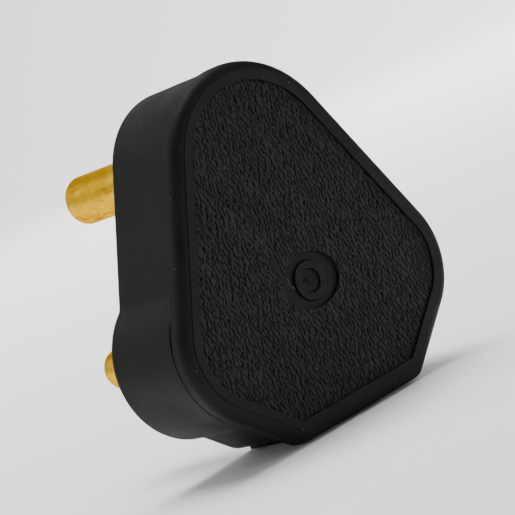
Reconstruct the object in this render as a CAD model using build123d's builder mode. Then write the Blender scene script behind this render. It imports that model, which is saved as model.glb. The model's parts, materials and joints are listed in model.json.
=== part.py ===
# A rewirable plug with three round pins: a rubber base and cover round a hard carrier that holds the pins
# and the cord clamp. Millimetres. X runs to the right seen from the cover, Z up towards the earth pin, and
# the pins point along +Y. The origin lies on the pin face, midway between the two lower pins. Depth is
# measured from the pin face into the plug, along -Y.
import os

from build123d import *

os.makedirs("parts", exist_ok=True)

# Pins
pin_spacing = 25.4
earth_height = 28.6
earth_diameter = 8.7
earth_length = 28.6
live_diameter = 7.05
live_length = 21.1
pin_tip_radius = 1.1
shank_step = 0.3
groove_depth = 0.9
collar_overhang = 1.4
collar_thickness = 1.2
terminal_overhang = 0.7
terminal_height = 6.6
terminal_chamfer = 0.4
wire_hole_diameter = 3.6
wire_hole_height = 2.2
flat_inset = 0.6

# Cover outline, seen from the front: its arcs are placed from the pins
cover_top_radius = 18.2
cover_top_margin = 13.0
cover_lobe_radius = 13.2
cover_lobe_offset = 4.1
lobe_height = -0.2
foot_corner_radius = 3.0
foot_corner_offset = 0.7
cover_foot = -19.3

# Cover
cover_thickness = 3.6
edge_round = 1.9
underside_chamfer = 0.25
rim_step = 0.15
rim_width = 1.6
panel_depth = 0.8
well_half_width = 6.3
well_half_height = 4.6
well_depth = 0.35
ring_outer_radius = 3.3
ring_inner_radius = 2.0
ring_height = 0.4
dimple_depth = 0.3
spigot_depth = 2.2
spigot_thickness = 1.6
spigot_clearance = 0.25

# Base outline: the cover stands out past it by the lips, and it has two round lobes beside the lower pins,
# with flanks that run a little inside their common tangents
top_lip = 0.3
lobe_lip = 0.6
foot_lip = 0.7
base_top_narrowing = 3.6
base_lobe_widening = 0.5
base_foot_narrowing = 3.0
base_foot_radius = 5.0
flank_inset = 1.9
crease_radius = 2.0
smallest_corner = 0.3

# Base shell
wall = 2.6
floor = 3.2
face_round = 1.0
pin_grip_clearance = 0.05
cord_collar_half_width = 9.2
cord_collar_reach = 1.0
cord_collar_setback = 2.0
grip_groove_count = 5
grip_groove_width = 0.7
grip_groove_depth = 0.4
cord_hole_diameter = 9.2
cord_hole_round = 0.6
join_gap = 0.6
join_gap_depth = 0.8
join_gap_rise = 0.5

# Carrier
carrier_thickness = 3.4
carrier_margin = 4.2
carrier_round = 0.5
clip_pocket_depth = 1.3
pin_clearance = 0.1
ledge_height = 1.0
ledge_width = 1.4
barrier_x = 5.9
barrier_length = 15.0
barrier_thickness = 1.3
barrier_height = 7.0
trough_width = 10.4
trough_floor = 1.4
saddle_rib_radius = 0.8

# Pin clips
clip_thickness = 1.0
clip_overhang = 1.3
clip_clearance = 0.05
clip_opening = 0.7

# Terminal screws
terminal_thread_diameter = 3.5
terminal_head_diameter = 5.6
terminal_head_height = 1.7
terminal_reach = 1.2
slot_width = 0.8
slot_depth = 0.8
screw_head_chamfer = 0.3
room_under_cover = 1.4

# Cover screw and its bush
cover_screw_height = 3.7
cover_screw_diameter = 3.5
cover_screw_head_diameter = 6.6
cover_screw_head_height = 2.0
cover_screw_recess = 2.1
cover_screw_clearance = 0.25
cover_screw_engagement = 6.0
boss_wall = 1.7
bush_diameter = 5.6
bush_length = 8.0
bush_setback = 0.4
thread_clearance = 0.05

# Cord clamp
clamp_setback = 7.4
clamp_screw_spacing = 19.2
clamp_post_radius = 3.0
clamp_post_height = 5.2
clamp_foot_margin = 1.0
clamp_bar_width = 6.6
clamp_bar_length = 26.0
clamp_bar_thickness = 2.4
clamp_bar_rib_radius = 0.8
clamp_bar_round = 0.5
clamp_screw_diameter = 3.0
clamp_head_diameter = 5.4
clamp_head_height = 1.6
clamp_hole_clearance = 0.15
nut_across_flats = 5.5
nut_thickness = 2.0
nut_clearance = 0.1

# Places that follow from the sizes above
cover_top_height = earth_height + cover_top_margin - cover_top_radius
cover_lobe_x = pin_spacing / 2 + cover_lobe_offset
foot_corner_x = pin_spacing / 2 + foot_corner_offset
foot_corner_height = cover_foot + foot_corner_radius
base_top_radius = cover_top_radius - base_top_narrowing
base_top_height = cover_top_height + cover_top_radius - top_lip - base_top_radius
base_lobe_radius = cover_lobe_radius + base_lobe_widening
base_lobe_x = cover_lobe_x + cover_lobe_radius - lobe_lip - base_lobe_radius
base_foot = cover_foot + foot_lip
base_foot_x = foot_corner_x - base_foot_narrowing
clamp_height = base_foot + clamp_setback

# Depths that follow from the sizes above
carrier_top = floor + carrier_thickness
collar_top = carrier_top + collar_thickness
terminal_top = collar_top + terminal_height
base_depth = terminal_top + terminal_head_height + room_under_cover
cord_collar_depth = base_depth - cord_collar_setback
wire_hole_depth = collar_top + wire_hole_height
bar_bottom = carrier_top + clamp_post_height
bar_top = bar_bottom + clamp_bar_thickness
clip_seat = floor + clip_pocket_depth
cord_depth = floor + trough_floor + cord_hole_diameter / 2
cover_front = base_depth + cover_thickness

pin_places = {
    "earth": (0, earth_height, earth_diameter, earth_length),
    "line": (-pin_spacing / 2, 0, live_diameter, live_length),
    "neutral": (pin_spacing / 2, 0, live_diameter, live_length),
}
clamp_places = {
    "left": (-clamp_screw_spacing / 2, clamp_height),
    "right": (clamp_screw_spacing / 2, clamp_height),
}


def level(depth):
    return Plane.XZ.offset(depth)


# The plane of a turned piece's profile: its local x is the radius and its local y runs along the pins
def turning_plane(x, height):
    return Plane(origin=(x, 0, height), x_dir=(1, 0, 0), z_dir=(0, 0, 1))


def turning_axis(x, height):
    return Axis((x, 0, height), (0, 1, 0))


def inset(outline, amount):
    with BuildSketch() as smaller:
        add(outline)
        offset(amount=-amount)
    return smaller.sketch


# Cover outline: the hull of the round top, the two lobes and the two corners of the foot
with BuildSketch() as cover_outline:
    with BuildLine():
        CenterArc((0, cover_top_height), cover_top_radius, 0, 360)
        for side in (-1, 1):
            CenterArc((side * cover_lobe_x, lobe_height), cover_lobe_radius, 0, 360)
            CenterArc((side * foot_corner_x, foot_corner_height), foot_corner_radius, 0, 360)
    make_hull()


# Base outline, drawn inside by an amount: a hull like the cover's, with the lobes standing out of its flanks
# in soft creases
def base_outline(amount=0):
    lobe_radius = base_lobe_radius - amount
    lobe_centres = [Vector(side * base_lobe_x, lobe_height) for side in (-1, 1)]

    def lies_on_a_lobe(corner):
        return min(abs((corner.center() - centre).length - lobe_radius) for centre in lobe_centres) < 0.001

    with BuildSketch() as outline:
        with BuildLine():
            CenterArc((0, base_top_height), base_top_radius - amount, 0, 360)
            for side in (-1, 1):
                foot_centre = (side * base_foot_x, base_foot + base_foot_radius)
                CenterArc((side * base_lobe_x, lobe_height), lobe_radius - flank_inset, 0, 360)
                CenterArc(foot_centre, max(base_foot_radius - amount, smallest_corner), 0, 360)
        make_hull()
        with Locations(lobe_centres):
            Circle(lobe_radius)
        fillet(outline.vertices().filter_by(lies_on_a_lobe), crease_radius + amount)
    return outline.sketch


# Cover: a rounded plate with a raised rim round a sunk panel, a ring in an oval well at its middle, a spigot
# that drops into the base, and a boss that reaches down to the carrier
with BuildPart() as cover_lid:
    with BuildSketch(level(base_depth)):
        add(cover_outline.sketch)
    extrude(amount=cover_thickness - rim_step)
    fillet(cover_lid.faces().sort_by(Axis.Y)[0].edges(), edge_round)
    chamfer(cover_lid.faces().sort_by(Axis.Y)[-1].edges(), underside_chamfer)
    with BuildSketch(level(cover_front - rim_step)):
        add(inset(cover_outline.sketch, edge_round))
    extrude(amount=rim_step)
    with BuildSketch(level(cover_front - panel_depth)):
        add(inset(cover_outline.sketch, edge_round + rim_width))
    extrude(amount=panel_depth, mode=Mode.SUBTRACT)
    with BuildSketch(level(cover_front - panel_depth)):
        with Locations((0, cover_screw_height)):
            Ellipse(well_half_width, well_half_height)
    extrude(amount=-well_depth, mode=Mode.SUBTRACT)
    with BuildSketch(level(cover_front - panel_depth - well_depth)):
        with Locations((0, cover_screw_height)):
            Circle(ring_outer_radius)
    extrude(amount=ring_height)
    with BuildSketch(level(cover_front - panel_depth - well_depth + ring_height)):
        with Locations((0, cover_screw_height)):
            Circle(ring_inner_radius)
    extrude(amount=-dimple_depth, mode=Mode.SUBTRACT)
    with BuildSketch(level(base_depth)):
        add(base_outline(wall + spigot_clearance))
        add(base_outline(wall + spigot_clearance + spigot_thickness), mode=Mode.SUBTRACT)
    extrude(amount=-spigot_depth)
    with BuildSketch(level(base_depth)):
        with Locations((0, cover_screw_height)):
            Circle(bush_diameter / 2 + boss_wall)
    extrude(amount=-(base_depth - carrier_top))
    with BuildSketch(level(carrier_top)):
        with Locations((0, cover_screw_height)):
            Circle(bush_diameter / 2)
    extrude(amount=bush_setback + bush_length, mode=Mode.SUBTRACT)


# Base: a rubber shell with a floor that the pins pass through, closed by the cover, with the cord hole in
# its foot
with BuildPart() as base_shell:
    with BuildSketch(level(0)):
        add(base_outline())
    extrude(amount=base_depth)
    fillet(base_shell.faces().sort_by(Axis.Y)[-1].edges(), face_round)
    with BuildSketch(level(floor)):
        add(base_outline(wall))
    extrude(amount=base_depth - floor, mode=Mode.SUBTRACT)
    with BuildSketch(level(0)):
        for x, height, diameter, _ in pin_places.values():
            with Locations((x, height)):
                Circle(diameter / 2 + shank_step + pin_grip_clearance)
        with Locations((0, cover_screw_height)):
            Circle(cover_screw_diameter / 2 + cover_screw_clearance)
    extrude(amount=floor, mode=Mode.SUBTRACT)
    with BuildSketch(level(0)):
        with Locations((0, cover_screw_height)):
            Circle(cover_screw_head_diameter / 2 + cover_screw_clearance)
    extrude(amount=cover_screw_recess, mode=Mode.SUBTRACT)
    # The collar round the cord hole, with grip grooves across its foot
    with BuildSketch(level(0)):
        with Locations((0, base_foot)):
            Rectangle(2 * cord_collar_half_width, 2 * cord_collar_reach)
    extrude(amount=cord_collar_depth)
    with BuildSketch(Plane.XY.offset(base_foot - cord_collar_reach)):
        with Locations((0, -cord_depth)):
            Circle(cord_hole_diameter / 2)
    extrude(amount=cord_collar_reach + wall + cord_collar_reach, mode=Mode.SUBTRACT)
    fillet(base_shell.edges().filter_by(GeomType.CIRCLE).sort_by(Axis.Z)[0], cord_hole_round)
    groove_pitch = cord_collar_depth / (grip_groove_count + 1)
    with BuildSketch(Plane.XY.offset(base_foot - cord_collar_reach)):
        for number in range(grip_groove_count):
            with Locations((0, -(number + 1) * groove_pitch)):
                Rectangle(2 * cord_collar_half_width, grip_groove_width)
    extrude(amount=grip_groove_depth, mode=Mode.SUBTRACT)
    # Thin gaps where the cover's edge lifts from the lobes
    with BuildSketch(level(base_depth)):
        for side in (-1, 1):
            with Locations((side * base_lobe_x, lobe_height)):
                Circle(base_lobe_radius)
            with Locations((side * (base_lobe_x - join_gap), lobe_height - join_gap_rise)):
                Circle(base_lobe_radius, mode=Mode.SUBTRACT)
    extrude(amount=-join_gap_depth, mode=Mode.SUBTRACT)

# Carrier: a hard plate on the base's floor, with the pins' holes, pockets for their clips under it, ledges
# that stop the pins turning, insulating walls between the terminals, and the saddle and posts of the cord
# clamp
with BuildPart() as pin_carrier:
    with BuildSketch(level(floor)):
        with BuildLine():
            for x, height, diameter, _ in pin_places.values():
                CenterArc((x, height), diameter / 2 + carrier_margin, 0, 360)
            for x, height in clamp_places.values():
                CenterArc((x, height), clamp_post_radius + clamp_foot_margin, 0, 360)
        make_hull()
    extrude(amount=carrier_thickness)
    fillet(pin_carrier.faces().sort_by(Axis.Y)[0].edges(), carrier_round)
    with BuildSketch(level(carrier_top)):
        for x, height, diameter, _ in pin_places.values():
            flat_height = height - diameter / 2 - collar_overhang + flat_inset
            with Locations((x, flat_height - ledge_width / 2)):
                Rectangle(diameter, ledge_width)
    extrude(amount=ledge_height)
    with BuildSketch(level(carrier_top)):
        with Locations((-barrier_x, cover_screw_height), (barrier_x, cover_screw_height)):
            Rectangle(barrier_thickness, barrier_length)
    extrude(amount=barrier_height)
    with BuildSketch(level(carrier_top)):
        for place in clamp_places.values():
            with Locations(place):
                Circle(clamp_post_radius)
    extrude(amount=clamp_post_height)
    with BuildSketch(level(floor + trough_floor)):
        with Locations((0, clamp_height)):
            Rectangle(trough_width, 2 * (clamp_post_radius + clamp_foot_margin))
    extrude(amount=carrier_thickness, mode=Mode.SUBTRACT)
    with BuildSketch(Plane.YZ.offset(-trough_width / 2)):
        with Locations((-floor - trough_floor, clamp_height)):
            Circle(saddle_rib_radius)
    extrude(amount=trough_width)
    with BuildSketch(level(floor)):
        for x, height, diameter, _ in pin_places.values():
            with Locations((x, height)):
                Circle(diameter / 2 + shank_step + pin_clearance)
        with Locations((0, cover_screw_height)):
            Circle(cover_screw_diameter / 2 + cover_screw_clearance)
        for place in clamp_places.values():
            with Locations(place):
                Circle(clamp_screw_diameter / 2 + clamp_hole_clearance)
    extrude(amount=base_depth, mode=Mode.SUBTRACT)
    with BuildSketch(level(floor)):
        for x, height, diameter, _ in pin_places.values():
            with Locations((x, height)):
                Circle(diameter / 2 + clip_overhang + pin_clearance)
    extrude(amount=clip_pocket_depth, mode=Mode.SUBTRACT)
    with BuildSketch(level(floor)):
        for place in clamp_places.values():
            with Locations(place):
                RegularPolygon(nut_across_flats / 2 + nut_clearance, 6, major_radius=False)
    extrude(amount=nut_thickness + nut_clearance, mode=Mode.SUBTRACT)


# A pin: a round-tipped pin on a shank a little wider, which has a groove for its clip, a collar with one flat
# that sits on the carrier, and a terminal head bored across for the wire and along its axis for its screw
def make_pin(x, height, diameter, length):
    radius = diameter / 2
    shank_radius = radius + shank_step
    groove_radius = shank_radius - groove_depth
    groove_mouth = clip_seat - clip_thickness - clip_clearance
    groove_end = clip_seat + clip_clearance
    collar_radius = radius + collar_overhang
    head_radius = radius + terminal_overhang
    with BuildPart() as pin:
        with BuildSketch(turning_plane(x, height)):
            with BuildLine():
                FilletPolyline(
                    (0, length),
                    (radius, length),
                    (radius, shank_step),
                    radius=pin_tip_radius,
                )
                Polyline(
                    (radius, shank_step),
                    (shank_radius, 0),
                    (shank_radius, -groove_mouth),
                    (groove_radius, -groove_mouth),
                    (groove_radius, -groove_end),
                    (shank_radius, -groove_end),
                    (shank_radius, -carrier_top),
                    (collar_radius, -carrier_top),
                    (collar_radius, -collar_top),
                    (head_radius, -collar_top),
                    (head_radius, -terminal_top),
                    (0, -terminal_top),
                    (0, length),
                )
            make_face()
        revolve(axis=turning_axis(x, height))
        chamfer(pin.edges().filter_by(GeomType.CIRCLE).sort_by(Axis.Y)[0], terminal_chamfer)
        with BuildSketch(level(carrier_top)):
            with Locations((x, height - collar_radius)):
                Rectangle(2 * collar_radius, 2 * flat_inset)
        extrude(amount=collar_thickness, mode=Mode.SUBTRACT)
        with BuildSketch(Plane.XY.offset(height - head_radius)):
            with Locations((x, -wire_hole_depth)):
                Circle(wire_hole_diameter / 2)
        extrude(amount=2 * head_radius, mode=Mode.SUBTRACT)
        with BuildSketch(level(wire_hole_depth)):
            with Locations((x, height)):
                Circle(terminal_thread_diameter / 2)
        extrude(amount=terminal_top - wire_hole_depth, mode=Mode.SUBTRACT)
    return pin


# A spring clip: a flat ring, open on one side, that snaps into a pin's groove
def make_clip(x, height, diameter):
    inner_radius = diameter / 2 + shank_step - groove_depth + clip_clearance
    with BuildPart() as clip:
        with BuildSketch(level(clip_seat - clip_thickness)):
            with Locations((x, height)):
                Circle(diameter / 2 + clip_overhang)
                Circle(inner_radius, mode=Mode.SUBTRACT)
            with Locations((x, height + diameter / 2)):
                Rectangle(2 * inner_radius * clip_opening, diameter, mode=Mode.SUBTRACT)
        extrude(amount=clip_thickness)
    return clip


# A terminal screw: a slotted cheese head on the terminal's end, with its tip in the wire hole
def make_terminal_screw(x, height):
    head_radius = terminal_head_diameter / 2
    shank_radius = terminal_thread_diameter / 2 - thread_clearance
    tip_depth = wire_hole_depth + wire_hole_diameter / 2 - terminal_reach
    with BuildPart() as screw:
        with BuildSketch(turning_plane(x, height)):
            with BuildLine():
                Polyline(
                    (0, -tip_depth),
                    (shank_radius, -tip_depth),
                    (shank_radius, -terminal_top),
                    (head_radius, -terminal_top),
                    (head_radius, -terminal_top - terminal_head_height),
                    (0, -terminal_top - terminal_head_height),
                    (0, -tip_depth),
                )
            make_face()
        revolve(axis=turning_axis(x, height))
        chamfer(screw.edges().filter_by(GeomType.CIRCLE).sort_by(Axis.Y)[0], screw_head_chamfer)
        with BuildSketch(level(terminal_top + terminal_head_height)):
            with Locations((x, height)):
                Rectangle(terminal_head_diameter, slot_width)
        extrude(amount=-slot_depth, mode=Mode.SUBTRACT)
    return screw


# Cover screw: its slotted pan head lies in the pin face's recess and its shank ends in the cover's bush
with BuildPart() as cover_screw:
    head_radius = cover_screw_head_diameter / 2
    shank_radius = cover_screw_diameter / 2 - thread_clearance
    tip_depth = carrier_top + bush_setback + cover_screw_engagement
    with BuildSketch(turning_plane(0, cover_screw_height)):
        with BuildLine():
            Polyline(
                (0, -tip_depth),
                (shank_radius, -tip_depth),
                (shank_radius, -cover_screw_recess),
                (head_radius, -cover_screw_recess),
            )
            FilletPolyline(
                (head_radius, -cover_screw_recess),
                (head_radius, -cover_screw_recess + cover_screw_head_height),
                (0, -cover_screw_recess + cover_screw_head_height),
                radius=cover_screw_head_height / 2,
            )
            Line((0, -cover_screw_recess + cover_screw_head_height), (0, -tip_depth))
        make_face()
    revolve(axis=turning_axis(0, cover_screw_height))
    with BuildSketch(level(cover_screw_recess - cover_screw_head_height)):
        with Locations((0, cover_screw_height)):
            Rectangle(cover_screw_head_diameter, slot_width)
    extrude(amount=slot_depth, mode=Mode.SUBTRACT)

# Cover screw bush: a threaded sleeve moulded into the cover's boss
with BuildPart() as cover_screw_bush:
    with BuildSketch(level(carrier_top + bush_setback)):
        with Locations((0, cover_screw_height)):
            Circle(bush_diameter / 2)
            Circle(cover_screw_diameter / 2, mode=Mode.SUBTRACT)
    extrude(amount=bush_length)

# Cord clamp bar: a round-ended strap with a rib across its middle that bites on the cord
with BuildPart() as cord_clamp_bar:
    with BuildSketch(level(bar_bottom)):
        with Locations((0, clamp_height)):
            SlotOverall(clamp_bar_length, clamp_bar_width)
        for place in clamp_places.values():
            with Locations(place):
                Circle(clamp_screw_diameter / 2 + clamp_hole_clearance, mode=Mode.SUBTRACT)
    extrude(amount=clamp_bar_thickness)
    fillet(cord_clamp_bar.faces().sort_by(Axis.Y)[0].outer_wire().edges(), clamp_bar_round)
    with BuildSketch(Plane.YZ.offset(-trough_width / 2)):
        with Locations((-bar_bottom, clamp_height)):
            Circle(clamp_bar_rib_radius)
    extrude(amount=trough_width)


# A cord clamp screw, from the bar's top down through its post into the nut below
def make_clamp_screw(x, height):
    head_radius = clamp_head_diameter / 2
    shank_radius = clamp_screw_diameter / 2 - thread_clearance
    with BuildPart() as screw:
        with BuildSketch(turning_plane(x, height)):
            with BuildLine():
                Polyline(
                    (0, -floor - clip_clearance),
                    (shank_radius, -floor - clip_clearance),
                    (shank_radius, -bar_top),
                    (head_radius, -bar_top),
                    (head_radius, -bar_top - clamp_head_height),
                    (0, -bar_top - clamp_head_height),
                    (0, -floor - clip_clearance),
                )
            make_face()
        revolve(axis=turning_axis(x, height))
        chamfer(screw.edges().filter_by(GeomType.CIRCLE).sort_by(Axis.Y)[0], screw_head_chamfer)
        with BuildSketch(level(bar_top + clamp_head_height)):
            with Locations((x, height)):
                Rectangle(clamp_head_diameter, slot_width)
        extrude(amount=-slot_depth, mode=Mode.SUBTRACT)
    return screw


# A hexagon nut in its pocket under the carrier
def make_clamp_nut(x, height):
    with BuildPart() as nut:
        with BuildSketch(level(floor + nut_clearance)):
            with Locations((x, height)):
                RegularPolygon(nut_across_flats / 2, 6, major_radius=False)
                Circle(clamp_screw_diameter / 2, mode=Mode.SUBTRACT)
        extrude(amount=nut_thickness)
    return nut


pieces = {
    "base_shell": base_shell,
    "cover_lid": cover_lid,
    "pin_carrier": pin_carrier,
    "cover_screw": cover_screw,
    "cover_screw_bush": cover_screw_bush,
    "cord_clamp_bar": cord_clamp_bar,
}
for name, (x, height, diameter, length) in pin_places.items():
    pieces[f"{name}_pin"] = make_pin(x, height, diameter, length)
    pieces[f"{name}_pin_clip"] = make_clip(x, height, diameter)
    pieces[f"{name}_terminal_screw"] = make_terminal_screw(x, height)
for side, (x, height) in clamp_places.items():
    pieces[f"cord_clamp_screw_{side}"] = make_clamp_screw(x, height)
    pieces[f"cord_clamp_nut_{side}"] = make_clamp_nut(x, height)

for label, piece in pieces.items():
    piece.part.label = label
    export_step(piece.part, f"parts/{label}.step")
    print(label, round(piece.part.volume, 1))
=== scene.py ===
import json
import math

import bpy
import numpy as np
from mathutils import Matrix, Vector
from mathutils.geometry import convex_hull_2d


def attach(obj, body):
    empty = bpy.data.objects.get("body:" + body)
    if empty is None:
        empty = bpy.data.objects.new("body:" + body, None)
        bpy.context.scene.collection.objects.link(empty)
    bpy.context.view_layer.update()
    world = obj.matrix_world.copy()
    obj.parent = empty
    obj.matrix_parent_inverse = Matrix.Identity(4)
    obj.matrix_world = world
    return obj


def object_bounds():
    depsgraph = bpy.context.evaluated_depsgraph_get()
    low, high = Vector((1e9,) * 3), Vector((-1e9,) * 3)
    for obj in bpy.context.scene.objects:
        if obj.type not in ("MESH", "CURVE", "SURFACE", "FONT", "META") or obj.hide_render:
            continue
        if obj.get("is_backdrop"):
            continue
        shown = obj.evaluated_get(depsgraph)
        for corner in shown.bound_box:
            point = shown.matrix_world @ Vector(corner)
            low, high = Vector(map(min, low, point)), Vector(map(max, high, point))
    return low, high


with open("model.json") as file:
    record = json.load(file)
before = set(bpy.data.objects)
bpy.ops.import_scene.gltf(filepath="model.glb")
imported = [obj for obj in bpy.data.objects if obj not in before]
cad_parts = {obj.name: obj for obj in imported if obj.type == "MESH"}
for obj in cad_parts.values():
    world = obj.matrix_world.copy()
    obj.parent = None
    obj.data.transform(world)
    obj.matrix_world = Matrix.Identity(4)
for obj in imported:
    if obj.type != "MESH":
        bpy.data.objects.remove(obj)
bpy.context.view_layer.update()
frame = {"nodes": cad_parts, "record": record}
nodes = frame["nodes"]
mm = 0.001
touching = 1e-7  # points nearer to each other than this, in metres, are one
print("frame loaded:", len(nodes), "pieces")


def deselectAll():
    if bpy.context.object and bpy.context.object.mode != "OBJECT":
        bpy.ops.object.mode_set(mode="OBJECT")
    bpy.ops.object.select_all(action="DESELECT")


def makeActive(piece):
    deselectAll()
    piece.select_set(True)
    bpy.context.view_layer.objects.active = piece


def nameActive(name):
    piece = bpy.context.object
    piece.name = name
    piece.data.name = name
    return piece


def applyPlace(piece):
    makeActive(piece)
    bpy.ops.object.transform_apply(location=True, rotation=True, scale=True)


# Leaves the piece in edit mode with all of it selected
def editAll(piece):
    makeActive(piece)
    bpy.ops.object.mode_set(mode="EDIT")
    bpy.ops.mesh.select_all(action="SELECT")


# Leaves the piece in edit mode with just the chosen faces selected
def editFaces(piece, chosen):
    makeActive(piece)
    bpy.ops.object.mode_set(mode="EDIT")
    bpy.ops.mesh.select_mode(type="FACE")
    bpy.ops.mesh.select_all(action="DESELECT")
    bpy.ops.object.mode_set(mode="OBJECT")
    piece.data.polygons.foreach_set("select", chosen)
    bpy.ops.object.mode_set(mode="EDIT")


# Turns the faces of the piece in edit mode outwards, or inwards, and leaves edit mode
def turnFaces(inside=False):
    bpy.ops.mesh.select_all(action="SELECT")
    bpy.ops.mesh.normals_make_consistent(inside=inside)
    bpy.ops.object.mode_set(mode="OBJECT")


def shadeSmooth(piece, degrees):
    makeActive(piece)
    bpy.ops.object.shade_smooth_by_angle(angle=math.radians(degrees))


def setMaterial(piece, material):
    piece.data.materials.clear()
    piece.data.materials.append(material)


def readPoints(piece):
    points = np.zeros(len(piece.data.vertices) * 3)
    piece.data.vertices.foreach_get("co", points)
    return points.reshape(-1, 3)


def writePoints(piece, points):
    piece.data.vertices.foreach_set("co", points.ravel())
    piece.data.update()


# Camera: a long lens, well to the left of the cover, and rolled as the plug leans in the picture.
# Lengths are in millimetres and turns in degrees
cameraValues = {
    "aim": (5.52, -3.34, 9.06),
    "distance": 406.2,
    "azimuth": -39.36,
    "elevation": 4.84,
    "roll": 22.96,
    "lens": 167.8,
    "sensor": 36.0,
    "clip": (0.01, 20),  # nearest and farthest that it sees, in metres
}


def makeCamera(values):
    turn = math.radians(values["azimuth"])
    lift = math.radians(values["elevation"])
    roll = math.radians(values["roll"])
    back = Vector((math.sin(turn) * math.cos(lift), -math.cos(turn) * math.cos(lift), math.sin(lift)))
    levelRight = Vector((math.cos(turn), math.sin(turn), 0))
    levelUp = back.cross(levelRight)
    right = levelRight * math.cos(roll) - levelUp * math.sin(roll)
    up = levelRight * math.sin(roll) + levelUp * math.cos(roll)
    place = Vector(values["aim"]) * mm + back * values["distance"] * mm
    bpy.ops.object.camera_add(location=place)
    camera = nameActive("photoCamera")
    camera.rotation_euler = Matrix((right, up, back)).transposed().to_euler()
    camera.data.lens = values["lens"]
    camera.data.sensor_width = values["sensor"]
    camera.data.clip_start, camera.data.clip_end = values["clip"]
    bpy.context.scene.camera = camera
    return right, up, back


viewRight, viewUp, viewBack = makeCamera(cameraValues)
print("camera made")


# The cover is measured from its flat faces that look outwards, gathered by their depth
coverReading = {
    "squareness": 0.999,  # how squarely a face has to look outwards to count as flat
    "digits": 6,  # faces lie in one plane if their depths in metres agree to this many digits
}


def coverPlanes(values):
    found = {}
    for face in nodes["cover_lid"].data.polygons:
        if -face.normal.y > values["squareness"]:
            found.setdefault(round(face.center.y, values["digits"]), []).append(face)
    return found


def planePoints(faces):
    points = nodes["cover_lid"].data.vertices
    return np.array([points[number].co for face in faces for number in face.vertices])


planes = coverPlanes(coverReading)
panelDepth = max(planes, key=lambda depth: sum(face.area for face in planes[depth]))
wellDepth = max(planes)
panelPoints = planePoints(planes[panelDepth])
wellPoints = planePoints(planes[wellDepth])
wellMiddle = (wellPoints.min(axis=0) + wellPoints.max(axis=0)) / 2
wellHalf = (wellPoints.max(axis=0) - wellPoints.min(axis=0)) / 2


# A round ring with a dimple stands in the well. Of the planes that it has above the well's floor, the
# outermost is the ring's flat top and the innermost the dimple's floor
def ringSizes():
    radii = {}
    for depth, faces in planes.items():
        radius = np.hypot(*(planePoints(faces) - wellMiddle)[:, (0, 2)].T).max()
        if depth < wellDepth and radius < wellHalf[0]:
            radii[depth] = radius
    top, floor = min(radii), max(radii)
    return radii[top], radii[floor], floor


ringRadius, dimpleRadius, dimpleFloor = ringSizes()
print("cover measured")


# Materials. Patterns run on object coordinates, so their scales are per metre
def putNode(tree, kind, inputs=None, **settings):
    node = tree.nodes.new(kind)
    for name, value in settings.items():
        setattr(node, name, value)
    for name, value in (inputs or {}).items():
        if isinstance(value, bpy.types.NodeSocket):
            tree.links.new(value, node.inputs[name])
        else:
            node.inputs[name].default_value = value
    return node


def newMaterial(name):
    material = bpy.data.materials.new(name)
    material.use_nodes = True
    tree = material.node_tree
    place = putNode(tree, "ShaderNodeTexCoord").outputs["Object"]
    return material, tree, tree.nodes["Principled BSDF"], place


def calculate(tree, operation, *values):
    node = putNode(tree, "ShaderNodeMath", dict(enumerate(values)), operation=operation)
    return node.outputs["Value"]


def calculateVector(tree, operation, *values):
    node = putNode(tree, "ShaderNodeVectorMath", dict(enumerate(values)), operation=operation)
    return node.outputs["Value" if operation == "LENGTH" else "Vector"]


# A smooth step from lowOut, where the value is low, to highOut, where it is high
def ramp(tree, value, low, high, lowOut=0.0, highOut=1.0):
    inputs = {"Value": value, "From Min": low, "From Max": high, "To Min": lowOut, "To Max": highOut}
    return putNode(tree, "ShaderNodeMapRange", inputs, interpolation_type="SMOOTHSTEP").outputs["Result"]


def mixColour(tree, amount, first, second):
    inputs = {"Fac": amount, "Color1": first, "Color2": second}
    return putNode(tree, "ShaderNodeMixRGB", inputs).outputs["Color"]


def noise(tree, place, scale, detail=3, roughness=0.5, stretch=None):
    if stretch:
        place = putNode(tree, "ShaderNodeMapping", {"Vector": place, "Scale": stretch}).outputs["Vector"]
    inputs = {"Vector": place, "Scale": scale, "Detail": detail, "Roughness": roughness}
    return putNode(tree, "ShaderNodeTexNoise", inputs).outputs["Fac"]


# Sparse specks: one round dot in some of the cells of a cell pattern, solid over a share of its size
def specks(tree, place, scale, size, share, solid=0.4):
    cells = putNode(tree, "ShaderNodeTexVoronoi", {"Vector": place, "Scale": scale, "Randomness": 1.0})
    dot = ramp(tree, cells.outputs["Distance"], size, size * solid)
    pick = putNode(tree, "ShaderNodeSeparateColor", {"Color": cells.outputs["Color"]}).outputs["Red"]
    return calculate(tree, "MULTIPLY", dot, calculate(tree, "LESS_THAN", pick, share))


def bump(tree, shader, height, distance):
    node = putNode(tree, "ShaderNodeBump", {"Height": height, "Distance": distance, "Strength": 1.0})
    tree.links.new(node.outputs["Normal"], shader.inputs["Normal"])


# The roughness goes from its low to its high value as the pattern goes through its range
def roughen(tree, shader, pattern, patternRange, roughness):
    tree.links.new(ramp(tree, pattern, *patternRange, *roughness), shader.inputs["Roughness"])


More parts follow.
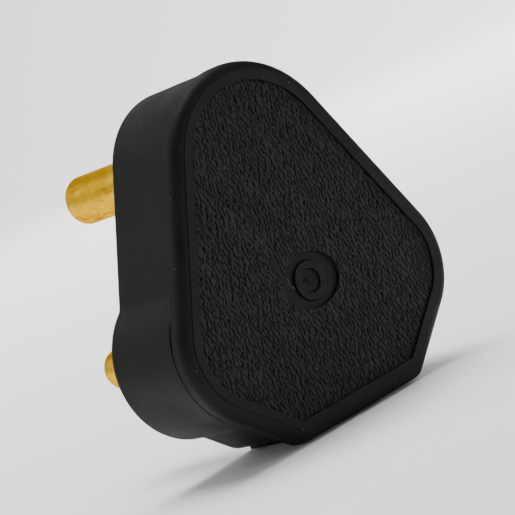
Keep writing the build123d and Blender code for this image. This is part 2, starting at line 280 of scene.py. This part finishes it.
# Matt black rubber: wide smudges, fine mottle, upright streaks, patches of pale grit and specks of dust
rubber = {
    "dark": (0.0035, 0.0035, 0.0036, 1),
    "light": (0.0075, 0.0075, 0.0077, 1),
    "smudgeScale": 130,
    "smudgeRange": (0.3, 0.7),
    "mottleScale": 2400,
    "mottleRange": (0.40, 0.75),
    "mottleShare": 0.6,
    "streakScale": 900,
    "streakStretch": (1, 1, 0.12),
    "streakRange": (0.55, 0.75),
    "streakShare": 0.7,
    "grit": (0.24, 0.24, 0.235, 1),
    "gritScale": 2100,
    "gritSize": 0.13,
    "gritShare": 0.22,
    "gritPatchScale": 75,
    "gritPatchRange": (0.48, 0.62),
    "dust": (0.34, 0.34, 0.33, 1),
    "dustScale": 620,
    "dustSize": 0.052,
    "dustShare": 0.24,
    "roughness": (0.54, 0.66),
    "roughRange": (0.35, 0.65),
    "specular": 0.17,
    "pebbleScale": 6500,
    "pebbleHeight": 0.010 * mm,
}
# The panel's grain: a lighter copy of the cover's rubber. Its flats are painted lighter than the rest of
# the cover, a painted sheen on the panel, and its grooves are darkened with painted shade and dirt
grainRubberLitAndShaded = {
    **rubber,
    "dark": (0.012, 0.012, 0.0122, 1),
    "light": (0.019, 0.019, 0.0194, 1),
    # The grooves' colour: painted shade in the recesses, and dirt lodged in them
    "groove": (0.0015, 0.0015, 0.0015, 1),
    "roughness": (0.56, 0.68),
    "specular": 0.18,
}
coverRubber = {
    **rubber,
    "lineRadii": (ringRadius + 0.04 * mm, dimpleRadius),
    "lineWidth": 0.13 * mm,
    "lineDepth": 0.15 * mm,
    # The lines' colour: painted shade in the creases, and dirt lodged there
    "lineShadeAndDirt": (0.002, 0.002, 0.002, 1),
}


# Fine round lines in the cover's well, at the edges of the ring and of the dimple, where dirt lies in a
# dip and the crease's shade is painted darker: 1 on a line and 0 beside it
def shadeAndDirtLines(tree, place, radii, width):
    offset = calculateVector(tree, "SUBTRACT", place, tuple(wellMiddle))
    reach = calculateVector(tree, "LENGTH", calculateVector(tree, "MULTIPLY", offset, (1, 0, 1)))
    lines = []
    for radius in radii:
        distance = calculate(tree, "ABSOLUTE", calculate(tree, "SUBTRACT", reach, radius))
        lines.append(ramp(tree, distance, width, 0))
    return calculate(tree, "MAXIMUM", *lines)


def makeRubber(name, values):
    material, tree, shader, place = newMaterial(name)
    smudges = noise(tree, place, values["smudgeScale"], detail=5, roughness=0.6)
    colour = mixColour(tree, ramp(tree, smudges, *values["smudgeRange"]), values["dark"], values["light"])
    mottle = noise(tree, place, values["mottleScale"], detail=2, roughness=0.6)
    mottle = ramp(tree, mottle, *values["mottleRange"], highOut=values["mottleShare"])
    colour = mixColour(tree, mottle, colour, values["light"])
    streaks = noise(tree, place, values["streakScale"], roughness=0.6, stretch=values["streakStretch"])
    streaks = ramp(tree, streaks, *values["streakRange"], highOut=values["streakShare"])
    colour = mixColour(tree, streaks, colour, values["light"])
    relief = noise(tree, place, values["pebbleScale"], roughness=0.6)
    # Darkens the grain's grooves by how deep they go: painted shade in the recesses, and dirt lodged in
    # them
    if "groove" in values:
        groove = putNode(tree, "ShaderNodeAttribute", attribute_name="groove").outputs["Fac"]
        colour = mixColour(tree, groove, colour, values["groove"])
    if "lineRadii" in values:
        # The lines in the well: painted shade in the creases at the ring's and the dimple's edges, and
        # dirt lodged there, over a bumped dip
        lines = shadeAndDirtLines(tree, place, values["lineRadii"], values["lineWidth"])
        colour = mixColour(tree, lines, colour, values["lineShadeAndDirt"])
        dip = -values["lineDepth"] / values["pebbleHeight"]
        relief = calculate(tree, "MULTIPLY_ADD", lines, dip, relief)
    grit = specks(tree, place, values["gritScale"], values["gritSize"], values["gritShare"])
    patches = ramp(tree, noise(tree, place, values["gritPatchScale"]), *values["gritPatchRange"])
    colour = mixColour(tree, calculate(tree, "MULTIPLY", grit, patches), colour, values["grit"])
    dust = specks(tree, place, values["dustScale"], values["dustSize"], values["dustShare"])
    colour = mixColour(tree, dust, colour, values["dust"])
    tree.links.new(colour, shader.inputs["Base Color"])
    roughen(tree, shader, smudges, values["roughRange"], values["roughness"])
    shader.inputs["Specular IOR Level"].default_value = values["specular"]
    bump(tree, shader, relief, values["pebbleHeight"])
    return material


# The pins' brass: pale patches and brown stains drawn out along the pin, over fine drawing lines
pinBrass = {
    "clean": (0.72, 0.41, 0.010, 1),
    "pale": (0.84, 0.56, 0.05, 1),
    "patchScale": 260,
    "patchRange": (0.45, 0.68),
    "stain": (0.38, 0.17, 0.004, 1),
    "stainScale": 520,
    "stainStretch": (1, 0.35, 1),
    "stainRange": (0.50, 0.66),
    "stainShare": 0.75,
    "edgeTint": (0.70, 0.44, 0.06, 1),
    "roughness": (0.36, 0.52),
    "roughRange": (0.4, 0.7),
    "drawScale": 3500,
    "drawStretch": (1, 0.2, 1),
    "drawHeight": 0.004 * mm,
}


def makeBrass(name, values):
    material, tree, shader, place = newMaterial(name)
    patches = noise(tree, place, values["patchScale"], detail=4, roughness=0.6)
    colour = mixColour(tree, ramp(tree, patches, *values["patchRange"]), values["clean"], values["pale"])
    stretch = values["stainStretch"]
    stains = noise(tree, place, values["stainScale"], detail=4, roughness=0.65, stretch=stretch)
    stained = ramp(tree, stains, *values["stainRange"], highOut=values["stainShare"])
    tree.links.new(mixColour(tree, stained, colour, values["stain"]), shader.inputs["Base Color"])
    shader.inputs["Metallic"].default_value = 1.0
    shader.inputs["Specular Tint"].default_value = values["edgeTint"]
    roughen(tree, shader, stains, values["roughRange"], values["roughness"])
    lines = noise(tree, place, values["drawScale"], roughness=0.6, stretch=values["drawStretch"])
    bump(tree, shader, lines, values["drawHeight"])
    return material


# The small metal pieces: bright metal with dull patches and fine tool marks
metal = {
    "patchRange": (0.4, 0.7),
    "roughRange": (0.3, 0.7),
    "markHeight": 0.003 * mm,
}
turnedBrass = {
    **metal,
    "bright": (0.78, 0.58, 0.25, 1),
    "dull": (0.62, 0.42, 0.15, 1),
    "roughness": (0.28, 0.43),
    "patchScale": 300,
    "markScale": 3600,
}
platedSteel = {
    **metal,
    "bright": (0.62, 0.62, 0.60, 1),
    "dull": (0.45, 0.45, 0.44, 1),
    "roughness": (0.30, 0.45),
    "patchScale": 260,
    "markScale": 3120,
}
springSteel = {
    **platedSteel,
    "bright": (0.35, 0.35, 0.37, 1),
    "dull": (0.22, 0.22, 0.24, 1),
    "roughness": (0.36, 0.51),
}


def makeMetal(name, values):
    material, tree, shader, place = newMaterial(name)
    patches = noise(tree, place, values["patchScale"], detail=4, roughness=0.6)
    colour = mixColour(tree, ramp(tree, patches, *values["patchRange"]), values["bright"], values["dull"])
    tree.links.new(colour, shader.inputs["Base Color"])
    shader.inputs["Metallic"].default_value = 1.0
    roughen(tree, shader, patches, values["roughRange"], values["roughness"])
    bump(tree, shader, noise(tree, place, values["markScale"], detail=2), values["markHeight"])
    return material


# Moulded nylon: faint clouds in the colour and a fine moulded skin
carrierNylon = {
    "colour": (0.78, 0.76, 0.70, 1),
    "shade": (0.70, 0.67, 0.60, 1),
    "cloudScale": 180,
    "cloudRange": (0.35, 0.7),
    "roughness": (0.38, 0.5),
    "roughRange": (0.3, 0.7),
    "skinScale": 5000,
    "skinHeight": 0.005 * mm,
}
clampNylon = {
    **carrierNylon,
    "colour": (0.05, 0.05, 0.055, 1),
    "shade": (0.035, 0.035, 0.038, 1),
}


def makeNylon(name, values):
    material, tree, shader, place = newMaterial(name)
    clouds = noise(tree, place, values["cloudScale"])
    colour = mixColour(tree, ramp(tree, clouds, *values["cloudRange"]), values["colour"], values["shade"])
    tree.links.new(colour, shader.inputs["Base Color"])
    roughen(tree, shader, clouds, values["roughRange"], values["roughness"])
    bump(tree, shader, noise(tree, place, values["skinScale"], detail=2), values["skinHeight"])
    return material


# The two rubber mouldings have a finish each, and every other piece takes the one of its slot
finishes = {
    "base_shell": makeRubber("baseRubber", rubber),
    "cover_lid": makeRubber("coverRubber", coverRubber),
    "pin_brass": makeBrass("pinBrass", pinBrass),
    "bright_brass": makeMetal("turnedBrass", turnedBrass),
    "plated_steel": makeMetal("platedSteel", platedSteel),
    "spring_steel": makeMetal("springSteel", springSteel),
    "carrier_nylon": makeNylon("carrierNylon", carrierNylon),
    "clamp_nylon": makeNylon("clampNylon", clampNylon),
}
for part in frame["record"]["subparts"]:
    node, slot = part["node"], part["material_slot"]
    setMaterial(nodes[node], finishes[node] if node in finishes else finishes[slot])
print("materials made")


# Grain on the cover's panel: raised flats with winding grooves between them, mostly upright. Each kind of
# wave has its count, its waves per metre and their unevenness, and its lean and fan in degrees
grain = {
    "columnGap": 0.10 * mm,
    "rowGap": 0.22 * mm,
    "raise": 0.30 * mm,
    "grooveDepth": 0.29 * mm,
    "tuck": 0.5 * mm,  # how far it reaches in under the rim
    "sunk": 0.15 * mm,  # how far its back lies inside the cover
    "wellEdge": 1.3,  # open edges within this many times the well's size are drawn to its edge
    "grooveWaves": {"count": 170, "perMetre": 1350, "unevenness": 0.24, "lean": 4, "fan": 19},
    "grooveWidth": 0.31,  # at half depth, as a share of the spacing
    "grooveSoftness": 0.22,  # how wide each side's slope is, as a share of half the spacing
    "breaks": (0.25, 0.6),  # a groove is gone where its waves are below the first, whole above the second
    "kinkWaves": {"count": 40, "perMetre": 850, "unevenness": 0.4, "lean": 0, "fan": 90},
    "kink": 0.088 * mm,  # how far the grooves are pushed about
    "calmWaves": {"count": 30, "perMetre": 150, "unevenness": 0.4, "lean": 0, "fan": 90},
    "calm": 0.15,  # how much more readily they break in some regions than in others
    "smoothAngle": 60,
    "seed": 11,
}


# A sum of complex waves that run about one way: its real part is a random but repeatable surface with a
# spread of 1, and its angle a phase that winds and breaks like the lines of a hide
def waveField(x, z, random, count, perMetre, unevenness, lean, fan):
    rates = perMetre * np.exp(random.normal(0, unevenness, count))
    angles = np.radians(random.normal(lean, fan, count))
    phases = random.uniform(0, 2 * np.pi, count)
    waves = np.zeros(len(x), complex)
    for rate, angle, phase in zip(rates, angles, phases):
        across = x * np.cos(angle) + z * np.sin(angle)
        waves += np.exp(1j * (2 * np.pi * rate * across + phase))
    return waves * math.sqrt(2 / count)


# How deep the grooves go at each point, from 0 on the flats to 1: they lie in the troughs of the waves
def grooveShare(x, z, values):
    random = np.random.default_rng(values["seed"])
    kinkX = waveField(x, z, random, **values["kinkWaves"]).real * values["kink"]
    kinkZ = waveField(x, z, random, **values["kinkWaves"]).real * values["kink"]
    calm = waveField(x, z, random, **values["calmWaves"]).real * values["calm"]
    waves = waveField(x + kinkX, z + kinkZ, random, **values["grooveWaves"])
    offLine = np.abs(np.angle(-waves)) / np.pi
    share = np.clip((values["grooveWidth"] - offLine) / values["grooveSoftness"] + 0.5, 0, 1)
    low, high = values["breaks"]
    firm = np.clip((np.abs(waves) - calm - low) / (high - low), 0, 1)
    rounded = share * share * (3 - 2 * share)
    return rounded * firm


# How far each point lies outside the outline with these corners
def outlineDistance(x, z, corners):
    distance = np.full(len(x), -1.0)
    for (ax, az), (bx, bz) in zip(corners, corners[1:] + corners[:1]):
        length = math.hypot(bx - ax, bz - az)
        if length > touching:
            distance = np.maximum(distance, ((x - ax) * (bz - az) - (z - az) * (bx - ax)) / length)
    return distance


# 1 on the well's edge, less inside it
def wellRatio(x, z):
    return np.hypot((x - wellMiddle[0]) / wellHalf[0], (z - wellMiddle[2]) / wellHalf[2])


def makeGrid(name, values):
    low = panelPoints.min(axis=0) - values["tuck"]
    high = panelPoints.max(axis=0) + values["tuck"]
    deselectAll()
    bpy.ops.mesh.primitive_grid_add(
        x_subdivisions=round((high[0] - low[0]) / values["columnGap"]),
        y_subdivisions=round((high[2] - low[2]) / values["rowGap"]),
        size=1,
        location=((low[0] + high[0]) / 2, panelDepth, (low[2] + high[2]) / 2),
        rotation=(math.pi / 2, 0, 0),
    )
    grid = nameActive(name)
    grid.scale = (high[0] - low[0], high[2] - low[2], 1)
    applyPlace(grid)
    return grid


# Cuts the grid to the panel, tucked a little under the rim, and leaves its open edges selected
def trimGrid(grid, values):
    flat = [tuple(point) for point in panelPoints[:, (0, 2)]]
    corners = [flat[number] for number in convex_hull_2d(flat)]
    centres = np.zeros(len(grid.data.polygons) * 3)
    grid.data.polygons.foreach_get("center", centres)
    x, z = centres[0::3], centres[2::3]
    editFaces(grid, (outlineDistance(x, z, corners) > values["tuck"]) | (wellRatio(x, z) < 1))
    bpy.ops.mesh.delete(type="FACE")
    bpy.ops.mesh.select_all(action="SELECT")
    bpy.ops.mesh.region_to_loop()
    bpy.ops.object.mode_set(mode="OBJECT")


# Draws the open edges round the well to the well's edge, raises the flats and presses the grooves
def pressGrain(grid, values):
    points = readPoints(grid)
    edge = np.zeros(len(points), bool)
    grid.data.vertices.foreach_get("select", edge)
    ratio = wellRatio(points[:, 0], points[:, 2])
    edge &= ratio < values["wellEdge"]
    for axis in (0, 2):
        points[edge, axis] = wellMiddle[axis] + (points[edge, axis] - wellMiddle[axis]) / ratio[edge]
    share = grooveShare(points[:, 0], points[:, 2], values)
    points[:, 1] = panelDepth - values["raise"] + values["grooveDepth"] * share
    writePoints(grid, points)
    # Keeps how deep the grooves go on the points, as the mask of the painted shade and dirt in the grooves
    grid.data.attributes.new("groove", "FLOAT", "POINT").data.foreach_set("value", share)


# Closes the piece with a flat back inside the cover, from its open edges
def closeBack(values):
    back = panelDepth + values["sunk"]
    bpy.ops.object.mode_set(mode="EDIT")
    bpy.ops.mesh.extrude_edges_move(TRANSFORM_OT_translate={"value": (0, values["sunk"], 0)})
    bpy.ops.transform.resize(value=(1, 0, 1), center_override=(0, back, 0))
    bpy.ops.mesh.fill(use_beauty=False)
    turnFaces()


def makeGrain(values):
    sheet = makeGrid("coverGrain", values)
    trimGrid(sheet, values)
    pressGrain(sheet, values)
    closeBack(values)
    shadeSmooth(sheet, values["smoothAngle"])
    setMaterial(sheet, makeRubber("grainRubberLitAndShaded", grainRubberLitAndShaded))
    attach(sheet, "root")
    return sheet


coverGrain = makeGrain(grain)
print("grain made:", len(coverGrain.data.polygons), "faces")


# A moulding scar in the dimple: a low torn stub with two smaller crumbs beside it
gateMark = {
    "stubs": ((0.0, 0.0, 0.75), (0.95, 0.30, 0.34), (-0.85, 0.42, 0.30)),  # across, up and radius in mm
    "height": 0.24 * mm,
    "heightShares": (0.4, 0.6),  # of the height: what every stub has, and more for each mm of radius
    "sides": 22,
    "rings": 3,
    "ringWidth": 0.24,  # as a share of the radius
    "torn": 0.55,  # how far down the top may be torn, as a share of the lift
    "ragged": 0.20,  # how far the sides may stray, as a share of the radius
    "sunk": 0.05 * mm,
    "smoothAngle": 50,
    "seed": 5,
}


# Tears the top of a stub down at random and makes its sides ragged
def tearStub(stub, lift, random, values):
    points = readPoints(stub)
    top = points[:, 1] < dimpleFloor
    points[top, 1] += random.uniform(0, values["torn"], top.sum()) * lift
    spread = random.uniform(-1, 1, values["sides"])
    offset = points - points.mean(axis=0)
    side = np.arctan2(offset[:, 2], offset[:, 0]) / (2 * np.pi) * values["sides"]
    grow = 1 + values["ragged"] * spread[np.round(side).astype(int) % values["sides"]]
    for axis in (0, 2):
        points[:, axis] = points[:, axis].mean() + offset[:, axis] * grow
    writePoints(stub, points)


def makeStub(across, up, radius, random, values):
    deselectAll()
    bpy.ops.mesh.primitive_circle_add(
        vertices=values["sides"],
        radius=radius * mm,
        fill_type="NGON",
        location=(wellMiddle[0] + across * mm, dimpleFloor + values["sunk"], wellMiddle[2] + up * mm),
        rotation=(math.pi / 2, 0, 0),
    )
    stub = nameActive("gateStub")
    applyPlace(stub)
    editAll(stub)
    least, more = values["heightShares"]
    lift = values["sunk"] + values["height"] * (least + more * radius)
    bpy.ops.mesh.extrude_region_move(TRANSFORM_OT_translate={"value": (0, -lift, 0)})
    for ring in range(values["rings"]):
        bpy.ops.mesh.inset(thickness=radius * mm * values["ringWidth"])
    turnFaces()
    tearStub(stub, lift, random, values)
    return stub


def makeGateMark(values):
    random = np.random.default_rng(values["seed"])
    stubs = [makeStub(*stub, random, values) for stub in values["stubs"]]
    makeActive(stubs[0])
    for stub in stubs:
        stub.select_set(True)
    bpy.ops.object.join()
    scar = nameActive("gateMark")
    shadeSmooth(scar, values["smoothAngle"])
    setMaterial(scar, makeRubber("scarRubber", rubber))
    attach(scar, "root")
    return scar


gateScar = makeGateMark(gateMark)
print("gate mark made:", len(gateScar.data.polygons), "faces")


# A hair of lint that lies in the well, left of the ring
lint = {
    "route": ((-4.08, 5.57), (-4.02, 4.68), (-4.31, 4.26), (-3.38, 3.61)),  # across and up in mm
    "thickness": 0.05 * mm,
    "rise": 0.4,  # of its thickness, from the well's floor to its middle
    "resolution": 10,
    "bevelSteps": 1,
    "dark": (0.16, 0.16, 0.16, 1),
    "pale": (0.30, 0.30, 0.29, 1),
    "shadeScale": 2500,
    "roughness": 0.9,
}


def makeLintFibre(values):
    material, tree, shader, place = newMaterial("greyLint")
    shade = noise(tree, place, values["shadeScale"], detail=2)
    tree.links.new(mixColour(tree, shade, values["dark"], values["pale"]), shader.inputs["Base Color"])
    shader.inputs["Roughness"].default_value = values["roughness"]
    return material


def makeLint(values):
    deselectAll()
    bpy.ops.curve.primitive_nurbs_path_add()
    curve = bpy.context.object.data
    curve.splines.clear()
    spline = curve.splines.new("NURBS")
    spline.points.add(len(values["route"]) - 1)
    for point, (x, z) in zip(spline.points, values["route"]):
        point.co = (x * mm, wellDepth - values["thickness"] * values["rise"], z * mm, 1)
    spline.order_u = 3
    spline.use_endpoint_u = True
    spline.resolution_u = values["resolution"]
    curve.dimensions = "3D"
    curve.bevel_depth = values["thickness"] / 2
    curve.bevel_resolution = values["bevelSteps"]
    curve.use_fill_caps = True
    bpy.ops.object.convert(target="MESH")
    hair = nameActive("lintFibre")
    applyPlace(hair)
    editAll(hair)
    bpy.ops.mesh.remove_doubles(threshold=touching)
    turnFaces()
    setMaterial(hair, makeLintFibre(values))
    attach(hair, "root")
    return hair


lintFibre = makeLint(lint)
print("lint made:", len(lintFibre.data.polygons), "faces")


# An even finish, for what stands round the plug
def makePlain(name, values):
    material = bpy.data.materials.new(name)
    material.use_nodes = True
    shader = material.node_tree.nodes["Principled BSDF"]
    shader.inputs["Base Color"].default_value = values["colour"]
    shader.inputs["Roughness"].default_value = values["roughness"]
    shader.inputs["Specular IOR Level"].default_value = values["specular"]
    return material


# Stage: a wide pale dish, so that the ground has no edge from any side, in metres
stage = {
    "floorRadius": 1.6,
    "wallHeight": 1.6,
    "sides": 96,
    "bendSteps": 8,
    "smoothAngle": 40,
    "colour": (0.86, 0.86, 0.86, 1),
    "roughness": 0.9,
    "specular": 0.1,
}


def makeStage(values):
    deselectAll()
    bpy.ops.mesh.primitive_circle_add(
        vertices=values["sides"],
        radius=values["floorRadius"],
        fill_type="NGON",
        location=(0, 0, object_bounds()[0].z),
    )
    dish = nameActive("paleFloor")
    editAll(dish)
    bpy.ops.mesh.region_to_loop()
    bend = values["wallHeight"] / 2
    reach = values["floorRadius"]
    for step in range(values["bendSteps"]):
        before = math.pi / 2 * step / values["bendSteps"]
        after = math.pi / 2 * (step + 1) / values["bendSteps"]
        rise = bend * (math.cos(before) - math.cos(after))
        newReach = values["floorRadius"] + bend * math.sin(after)
        bpy.ops.mesh.extrude_edges_move(TRANSFORM_OT_translate={"value": (0, 0, rise)})
        grow = newReach / reach
        bpy.ops.transform.resize(value=(grow, grow, 1), center_override=(0, 0, 0))
        reach = newReach
    bpy.ops.mesh.extrude_edges_move(TRANSFORM_OT_translate={"value": (0, 0, bend)})
    turnFaces(inside=True)
    applyPlace(dish)
    shadeSmooth(dish, values["smoothAngle"])
    setMaterial(dish, makePlain("paleCard", values))
    dish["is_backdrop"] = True
    return dish


paleFloor = makeStage(stage)


# A place given along the camera's own right, up and back, in metres from its aim
def besidePlug(right, up, back):
    return Vector(cameraValues["aim"]) * mm + viewRight * right + viewUp * up + viewBack * back


# Round soft lamps, their powers in watts. The backdrop lamp lights nothing but the floor behind the plug
lights = {
    "leftSoft": {"place": (-0.50, 0.20, -0.05), "size": 0.40, "power": 0.50},
    "leftLow": {"place": (-0.30, -0.12, 0.05), "size": 0.06, "power": 0.03},
    "rightSoft": {"place": (1.00, 0.40, 0.20), "size": 0.90, "power": 2.0},
    "topSoft": {"place": (-0.45, 1.10, -0.15), "size": 0.9, "power": 12},
    "backdrop": {
        "place": (0.30, 1.0, -1.00),
        "aim": (0.0, -0.2, -1.9),
        "size": 1.2,
        "power": 42,
        "floorOnly": True,
    },
}


def makeLamp(name, values):
    place = besidePlug(*values["place"])
    aim = besidePlug(*values.get("aim", (0, 0, 0)))
    bpy.ops.object.light_add(type="AREA", location=place)
    lamp = nameActive(name)
    lamp.rotation_euler = (place - aim).to_track_quat("Z", "Y").to_euler()
    lamp.data.shape = "DISK"
    lamp.data.size = values["size"]
    lamp.data.energy = values["power"]
    lamp.visible_camera = False
    if values.get("floorOnly"):
        receivers = bpy.data.collections.new("floorOnly")
        receivers.objects.link(paleFloor)
        lamp.light_linking.receiver_collection = receivers


for lampName, lampValues in lights.items():
    makeLamp(lampName, lampValues)


# Dark cards that only the gloss sees: one behind the camera, one far behind the plug's top and right side,
# so that the rounded edges stay dark against the pale ground
darkCards = {
    "frontCard": {"place": (0, 0, 0.46), "size": 0.60},
    "rearCard": {"place": (0.37, 0.38, -0.30), "size": 0.90},
}
blackCloth = {"colour": (0.005, 0.005, 0.005, 1), "roughness": 1.0, "specular": 0.0}


def makeDarkCards(cards):
    material = makePlain("blackCloth", blackCloth)
    turn = Matrix((viewRight, viewUp, viewBack)).transposed().to_euler()
    for name, values in cards.items():
        deselectAll()
        place = besidePlug(*values["place"])
        bpy.ops.mesh.primitive_plane_add(size=values["size"], location=place, rotation=turn)
        card = nameActive(name)
        applyPlace(card)
        setMaterial(card, material)
        card.visible_camera = False
        card.visible_diffuse = False
        card.visible_shadow = False
        card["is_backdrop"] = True


makeDarkCards(darkCards)


# The faint light of the room from all sides
room = {"colour": (0.9, 0.92, 0.95, 1), "strength": 0.18}


def makeRoom(values):
    world = bpy.data.worlds.new("softRoom")
    bpy.context.scene.world = world
    world.use_nodes = True
    background = world.node_tree.nodes["Background"]
    background.inputs["Color"].default_value = values["colour"]
    background.inputs["Strength"].default_value = values["strength"]


makeRoom(room)
print("stage and lights made")
